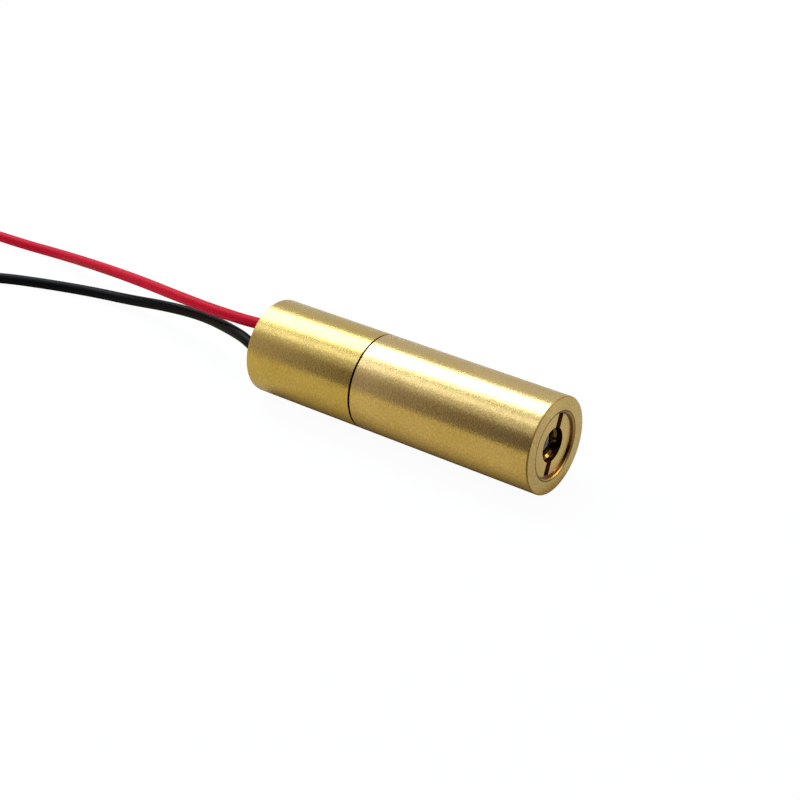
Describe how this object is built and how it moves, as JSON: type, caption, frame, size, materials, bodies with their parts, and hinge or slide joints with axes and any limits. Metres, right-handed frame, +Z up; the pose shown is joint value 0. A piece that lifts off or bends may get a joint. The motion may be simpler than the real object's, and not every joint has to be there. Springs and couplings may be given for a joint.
{
  "type": "laser diode module",
  "caption": "Small brass tube that sends out a focused laser beam, with a slotted ring at the front to set the focus and a red and a black lead at the back.",
  "frame": {"origin": "on the optical axis, halfway along the brass housing", "axes": "+X along the outgoing beam, +Z up as the module lies on its side, +Y to its left seen from behind"},
  "size_m": [0.1078, 0.0161, 0.009],
  "materials": {
    "brass_front": "fine turned brass, lightly brushed",
    "brass_rear": "fine turned brass, lightly brushed",
    "brass_nut": "turned brass, satin",
    "lens_glass": "clear moulded optic, polished",
    "spring_steel": "drawn wire",
    "stem_gold": "gold-plated, satin",
    "cap_nickel": "nickel-plated, satin",
    "window_glass": "clear, polished",
    "copper": "gold-plated copper, satin",
    "submount_ceramic": "ground",
    "chip_dark": "cleaved semiconductor, glossy",
    "silicon": "polished semiconductor",
    "lead_gold": "gold-plated, satin",
    "seal_glass": "fused",
    "board_green": "solder-resist green",
    "resistor_black": "glazed top",
    "capacitor_tan": "fired ceramic",
    "tin": "tinned, satin",
    "transistor_black": "moulded",
    "solder": "solder, smooth",
    "epoxy": "cast epoxy, glossy",
    "red_insulation": "extruded plastic, soft sheen",
    "black_insulation": "extruded plastic, soft sheen"
  },
  "bodies": {
    "housing": {"front_barrel": "brass_front", "rear_sleeve": "brass_rear", "focus_spring": "spring_steel", "diode_stem": "stem_gold", "diode_cap": "cap_nickel", "diode_window": "window_glass", "chip_mount": "copper", "chip_submount": "submount_ceramic", "laser_chip": "chip_dark", "monitor_photodiode": "silicon", "laser_lead": "lead_gold", "monitor_lead": "lead_gold", "case_lead": "lead_gold", "lead_seals": "seal_glass", "driver_board": "board_green", "resistor_bodies": "resistor_black", "resistor_ends": "tin", "capacitor_bodies": "capacitor_tan", "capacitor_ends": "tin", "transistor_bodies": "transistor_black", "transistor_legs": "tin", "wire_cores": "tin", "solder_joints": "solder", "wire_seal": "epoxy", "red_wire": "red_insulation", "red_wire_coil": "red_insulation", "red_wire_tip": "tin", "black_wire": "black_insulation", "black_wire_coil": "black_insulation", "black_wire_tip": "tin"},
    "focus_lens": {"collimating_lens": "lens_glass"},
    "focus_nut": {"lens_nut": "brass_nut"}
  },
  "joints": [
    {"name": "focus_travel", "type": "slide", "parent": "housing", "child": "focus_lens", "axis": [1, 0, 0], "range_m": [-0.001, 0.00025], "deforming": ["focus_spring"]},
    {"name": "focus_turn", "type": "hinge", "parent": "focus_lens", "child": "focus_nut", "pos_m": [0.0152, 0, 0], "axis": [1, 0, 0], "range_deg": [-725, 185]}
  ],
  "couplings": [
    {"joint": "focus_turn", "follows": "focus_travel", "rad_per_m": 12566}
  ]
}
